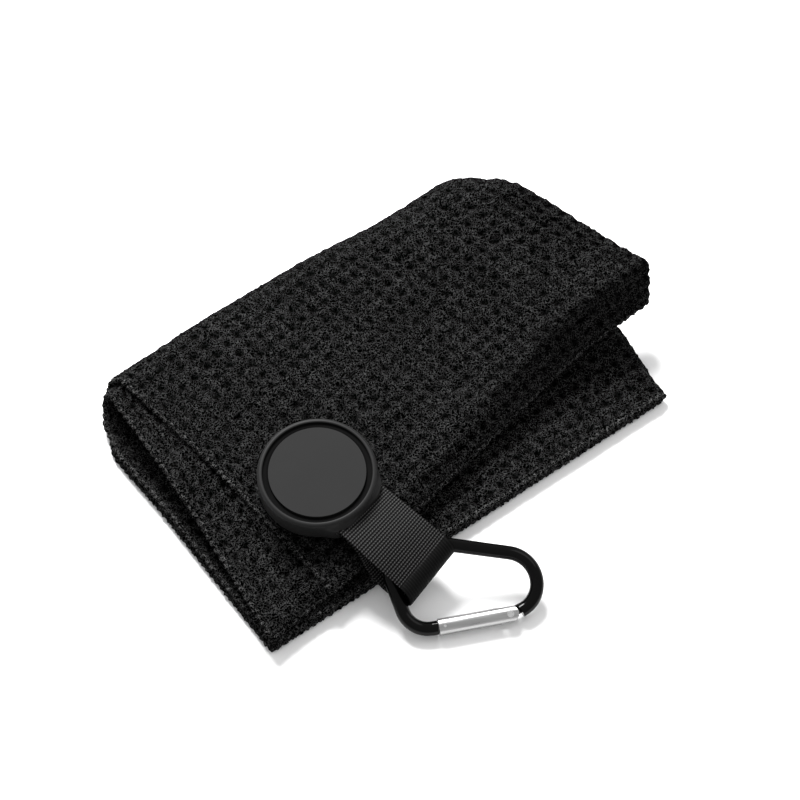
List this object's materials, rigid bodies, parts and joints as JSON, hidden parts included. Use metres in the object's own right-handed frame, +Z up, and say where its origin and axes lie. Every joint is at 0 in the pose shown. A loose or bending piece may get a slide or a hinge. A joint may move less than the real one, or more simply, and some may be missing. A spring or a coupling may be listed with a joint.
{
  "type": "golf towel",
  "caption": "Folded waffle-weave golf towel with a round magnetic puck, a short webbing strap and a spring-gate carabiner.",
  "frame": {"origin": "centre of the bounding box, on the ground under the towel", "axes": "+X along the fold, from the open ends to the puffed crease; +Y from the front edge to the back fold; +Z up"},
  "size_m": [0.2322, 0.1878, 0.043],
  "materials": {
    "cloth": "matte waffle terry",
    "thread": "matte",
    "rubber": "matte moulded",
    "face": "matte",
    "webbing": "ribbed nylon",
    "steel": "plated",
    "magnet": "nickel plated",
    "anodised": "gloss black anodised aluminium",
    "bare_aluminium": "satin"
  },
  "bodies": {
    "towel": {"towel_cloth": "cloth", "overlock_thread": "thread", "keeper_plate": "steel", "keeper_pocket": "cloth", "pocket_thread": "thread"},
    "puck": {"puck_cover": "rubber", "face_disc": "face", "puck_base": "face", "steel_cup": "steel", "magnet": "magnet", "anchor_bar": "steel", "webbing_root": "webbing"},
    "strap": {"webbing_loop": "webbing", "bartack_thread": "thread"},
    "carabiner": {"carabiner_frame": "anodised"},
    "gate": {"gate": "bare_aluminium", "gate_rivet": "bare_aluminium", "latch_pin": "steel", "gate_plunger": "steel", "gate_spring": "steel"}
  },
  "joints": [
    {"name": "puck_pull", "type": "slide", "parent": "towel", "child": "puck", "axis": [-0.0627, -0.0835, 0.9945], "range_m": [0, 0.04]},
    {"name": "strap_lift", "type": "hinge", "parent": "puck", "child": "strap", "pos_m": [-0.05504, -0.03055, 0.0248], "axis": [-0.9816, -0.1908, 0], "range_deg": [0, 80]},
    {"name": "carabiner_turn", "type": "hinge", "parent": "strap", "child": "carabiner", "pos_m": [-0.05722, -0.03678, 0.02063], "axis": [-0.7404, 0.6607, 0.1236], "range_deg": [0, 6]},
    {"name": "gate_swing", "type": "hinge", "parent": "carabiner", "child": "gate", "pos_m": [-0.03061, -0.09016, 0.00428], "axis": [0.1751, 0.3671, -0.9135], "range_deg": [0, 25], "stiffness_Nm_per_rad": 0.02, "springref_deg": -17.19}
  ]
}
